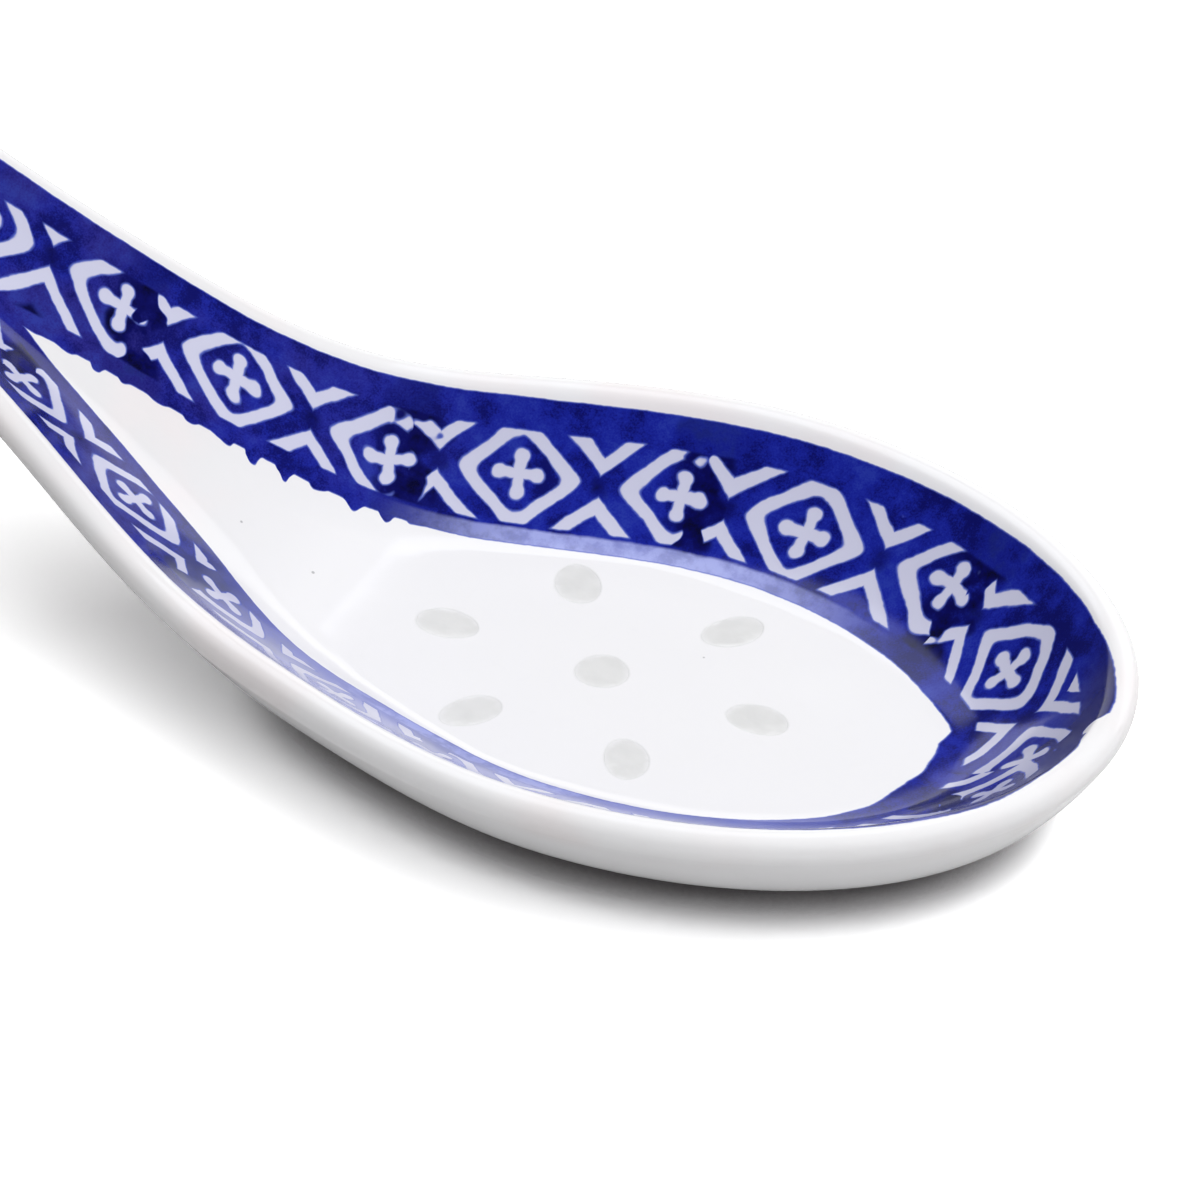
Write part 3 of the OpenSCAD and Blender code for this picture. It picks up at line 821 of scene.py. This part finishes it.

# Up the handle the white is painted darker, as shade. The glaze flushes faintly pink on the lip and the
# outside, and carries tiny specks, a few millimetres apart
flush = times(tree, between(tree, noise(tree, here, size=12.0, detail=3.0), 0.48, 0.68), PINK_SHARE,
    between(tree, up, *PINK_ABOVE))
white = blended(tree, between(tree, east, *HANDLE_SHADE_BEHIND), WHITE, HANDLE_SHADE_WHITE)
white = blended(tree, flush, white, PINK)
dots = tree.nodes.new("ShaderNodeTexVoronoi")
joined(tree, dots.inputs["Vector"], here)
dots.inputs["Scale"].default_value = 1000 / 4.5
chosen = between(tree, split(tree, dots.outputs["Color"])[0], 0.45, 0.5)
specks = times(tree, between(tree, dots.outputs["Distance"], 0.032, 0.018), chosen, SPECK_SHARE)
white = blended(tree, specks, white, SPECK)
white = blended(tree, printed, white, PRINT_WHITE)

# Round each pierced grain the body is thin, and the grey of the window shines through it
glow = scaled(tree, noise(tree, here, size=0.9, detail=2.0), 0.8, attribute(tree, "grain_glow")["Fac"])
white = blended(tree, times(tree, between(tree, glow, 0.45, 1.5), WINDOW_SHARE), white, WINDOW_GREY)

# The print's edges bled into the glaze as a thin brighter seam. The foot's resting face is bare, and at the
# tip the print dulls the glaze
bare = between(tree, up, *BARE_BELOW)
bled = blended(tree, between(tree, ink, 0.0, 0.5), white, BLEED)
colour = blended(tree, between(tree, ink, 0.35, 1.0), bled, blue)
joined(tree, shader["Base Color"], blended(tree, bare, colour, BARE))
glaze = used_group(tree, glaze_group, Place=here, Ripple=1.0)
dull = times(tree, between(tree, east, *DULL_AHEAD), printed, TIP_ROUGH)
joined(tree, shader["Roughness"],
    larger(tree, larger(tree, glaze["Roughness"], dull), times(tree, bare, BARE_ROUGH)))
joined(tree, shader["Normal"], bumped(tree, glaze["Height"], RIPPLES))
shader["IOR"].default_value = GLAZE_IOR
body.data.materials.append(porcelain)
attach(body, "root")
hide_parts("porcelain_body")


# Grain windows
# Each pierced grain is closed by clear glaze that ran into it and froze there, almost flush with the floor
# and a little sunk underneath. It shows as a soft grey patch that fades into the white at its edge.
WINDOW_TOP, WINDOW_FOOT = 4.19, 1.56  # heights of a window's rims
SINK, KEEL = 0.02, 0.12  # how far its middle lies below the upper rim, and above the lower one
EDGE_DROP = 0.03  # how far its side begins below the upper rim
CLEARANCE = 0.006  # between a window and its hole
RADIAL_SHARES = np.array([0.0, 0.15, 0.3, 0.45, 0.6, 0.74, 0.86, 0.94, 0.975, 0.992, 1.0])
SIDE_SHARES, SIDE_HEIGHTS = [1.0, 0.95, 0.9], [WINDOW_TOP - EDGE_DROP, 3.1, 2.2]  # down the tapering side
window_glaze, tree, shader = material("clear_grain_glaze")
here = tree.nodes.new("ShaderNodeTexCoord").outputs["Object"]
glaze = used_group(tree, glaze_group, Place=here, Ripple=1.0)
cloudy = between(tree, noise(tree, here, size=1.6, detail=1.0), 0.35, 0.7)
rim = scaled(tree, noise(tree, here, size=0.9, detail=2.0), 0.6, attribute(tree, "rim_share")["Fac"])
grey = blended(tree, cloudy, WINDOW_GREY, WINDOW_CLOUD)
joined(tree, shader["Base Color"], blended(tree, between(tree, rim, 0.98, 1.65), grey, WHITE))
joined(tree, shader["Roughness"], glaze["Roughness"])
uneven = scaled(tree, noise(tree, here, size=1.3, detail=2.0), 0.6, glaze["Height"])
joined(tree, shader["Normal"], bumped(tree, uneven, RIPPLES / 2))
shader["IOR"].default_value = GLAZE_IOR

# Rows from the middle of the top out to its edge, down the side, and back in underneath
dish = WINDOW_TOP - SINK * (1 - RADIAL_SHARES**4)
keel = WINDOW_FOOT + KEEL * (1 - RADIAL_SHARES**2.5)
window_shares = np.concatenate([RADIAL_SHARES, SIDE_SHARES, HOLE_SHARES[-1] * RADIAL_SHARES[::-1]])
window_heights = np.concatenate([dish, SIDE_HEIGHTS, keel[::-1]])
for grain, name in zip(grains, ["centre", "1", "2", "3", "4", "5", "6"]):
    ring = np.stack([grain_ring(grain, -CLEARANCE * share, share) for share in window_shares], 1)
    ring[:, [0, -1]] = grain[:2]
    clay = Clay()
    clay.grid(raised(ring, window_heights)[:, ::-1])
    window = make_piece("grain_glaze_" + name, clay)
    # How far out each point lies, from 0 in the middle to 1 on the grain's oval
    spots = np.empty(len(window.data.vertices) * 3, np.float32)
    window.data.vertices.foreach_get("co", spots)
    u, v = (spots.reshape(-1, 3)[:, :2] * 1000 - grain[:2]).T
    u, v = u * np.cos(grain[2]) + v * np.sin(grain[2]), v * np.cos(grain[2]) - u * np.sin(grain[2])
    layer = window.data.attributes.new("rim_share", "FLOAT", "POINT")
    layer.data.foreach_set("value", np.hypot(u / grain[3], v / grain[4]).astype(np.float32))
    window.data.materials.append(window_glaze)
    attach(window, "root")
    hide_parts("grain_window_" + name)


# Floor
# A plain white table top, which sends on the light of white paper. The camera sees it overexposed, as a
# photographer's white ground is, so only the deepest of the spoon's shadow shows, and right under the spoon's
# overhang a contact shadow is painted on it. From below it isn't seen.
FLOOR_HALF = 3.0
PAPER, PAPER_IN_GLAZE = (0.66, 0.66, 0.66), (1.0, 1.0, 1.0)
PAPER_IN_CAMERA, PAINTED_CONTACT_SHADOW = (2.0, 2.0, 2.0), (0.2, 0.18, 0.19)
CONTACT_REACH = 0.0047  # how far the spoon's contact shadow reaches, in metres
floor_mesh = bpy.data.meshes.new("table_top")
floor_corners = [(-FLOOR_HALF, -FLOOR_HALF, 0), (FLOOR_HALF, -FLOOR_HALF, 0),
    (FLOOR_HALF, FLOOR_HALF, 0), (-FLOOR_HALF, FLOOR_HALF, 0)]
floor_mesh.from_pydata(floor_corners, [], [(0, 1, 2, 3)])
table = bpy.data.objects.new("table_top", floor_mesh)
bpy.context.scene.collection.objects.link(table)
paper = bpy.data.materials.new("white_table")
paper.use_nodes = True
tree = paper.node_tree
tree.nodes.clear()
ray = tree.nodes.new("ShaderNodeLightPath").outputs
mirrored = larger(tree, ray["Is Glossy Ray"], ray["Is Transmission Ray"])

# Right under the spoon's overhang a contact shadow is painted: as the camera sees it, the floor's colour
# darkens where little of the sky is open, so the shadow stays dark all the same
under_it = tree.nodes.new("ShaderNodeAmbientOcclusion")
under_it.samples = 16
under_it.inputs["Distance"].default_value = CONTACT_REACH
open_to_sky = between(tree, under_it.outputs["AO"], 0.1, 0.65)
in_camera = blended(tree, open_to_sky, PAINTED_CONTACT_SHADOW, PAPER_IN_CAMERA)
matt = tree.nodes.new("ShaderNodeBsdfDiffuse")
joined(tree, matt.inputs["Color"], blended(tree, ray["Is Camera Ray"],
    blended(tree, mirrored, PAPER, PAPER_IN_GLAZE), in_camera))
sides = tree.nodes.new("ShaderNodeMixShader")
joined(tree, sides.inputs[0], tree.nodes.new("ShaderNodeNewGeometry").outputs["Backfacing"])
joined(tree, sides.inputs[1], matt.outputs[0])
joined(tree, sides.inputs[2], tree.nodes.new("ShaderNodeBsdfTransparent").outputs[0])
joined(tree, tree.nodes.new("ShaderNodeOutputMaterial").inputs["Surface"], sides.outputs[0])
table.data.materials.append(paper)


# Camera
# A long lens from the right of the spoon, looking down on the bowl. The handle runs out of the frame.
# Its angles, its distance in metres and the place that it looks at were fitted to the photograph.
TURN, TILT, ROLL = np.radians(27.228), np.radians(37.348), np.radians(-0.135)
DISTANCE, LENS, SENSOR_W = 2.5683, 1186.48, 36.0
AIM = np.array([-1.6007, 6.7281, 4.2]) / 1000
right = np.array([np.cos(TURN), np.sin(TURN), 0])
ahead = np.array([-np.sin(TURN), np.cos(TURN), 0])
look = np.cos(TILT) * ahead - np.sin(TILT) * np.array([0, 0, 1])
upward = np.sin(TILT) * ahead + np.cos(TILT) * np.array([0, 0, 1])


def placed(piece, across, along, back, place):
    """Turns and places a camera or a lamp, by its own three directions and its place."""
    rows = [(across[i], along[i], back[i], place[i]) for i in range(3)]
    piece.matrix_world = Matrix(rows + [(0, 0, 0, 1)])
    bpy.context.scene.collection.objects.link(piece)


camera = bpy.data.objects.new("camera", bpy.data.cameras.new("camera"))
camera.data.lens, camera.data.sensor_width, camera.data.sensor_fit = LENS, SENSOR_W, "HORIZONTAL"
camera.data.clip_start, camera.data.clip_end = 0.05, 20.0
placed(camera, np.cos(ROLL) * right + np.sin(ROLL) * upward, -np.sin(ROLL) * right + np.cos(ROLL) * upward,
    -look, AIM - look * DISTANCE)
bpy.context.scene.camera = camera


# Light
# A long diffuser overhead gives the soft light. A softbox a little behind the spoon and a white card
# further back give the shine on its glaze, in an even, dim room. The glaze mirrors the room's far side,
# which is darker.
ROOM, ROOM_IN_GLAZE = 0.2, 0.07


def area_light(name, place, width, length, radiance):
    """A rectangular light turned towards the spoon, placed by metres to the camera's right, ahead of it and
    up. Its power is its brightness times its area times pi."""
    lamp = bpy.data.objects.new(name, bpy.data.lights.new(name, "AREA"))
    lamp.data.shape, lamp.data.size, lamp.data.size_y = "RECTANGLE", width, length
    lamp.data.energy = radiance * np.pi * width * length
    offset = right * place[0] + ahead * place[1] + np.array([0, 0, place[2]])
    back = offset / np.linalg.norm(offset)
    across = np.cross(np.cross(back, right), back)
    across /= np.linalg.norm(across)
    placed(lamp, across, np.cross(back, across), back, AIM + offset)
    return lamp


diffuser = area_light("overhead_diffuser", (0.22, -0.08, 0.7), width=0.7, length=1.7, radiance=2.55)
diffuser.visible_glossy = False
shine = area_light("shine_softbox", (-0.11, 0.31, 0.571), width=0.5, length=0.435, radiance=2.0)
shine.visible_diffuse = False
shine.data.color = (0.86, 0.9, 1.0)
backdrop = area_light("backdrop_card", (0.4, 1.7, 0.55), width=4.0, length=1.15, radiance=1.5)
backdrop.visible_diffuse = False
world = bpy.data.worlds.new("pale_room")
bpy.context.scene.world = world
world.use_nodes = True
tree = world.node_tree
room = tree.nodes["Background"].inputs
room["Color"].default_value = (1.0, 1.0, 1.0, 1.0)
in_glaze = tree.nodes.new("ShaderNodeLightPath").outputs["Is Glossy Ray"]
joined(tree, room["Strength"], scaled(tree, in_glaze, ROOM_IN_GLAZE - ROOM, ROOM))
bpy.context.scene.view_settings.view_transform = "Standard"
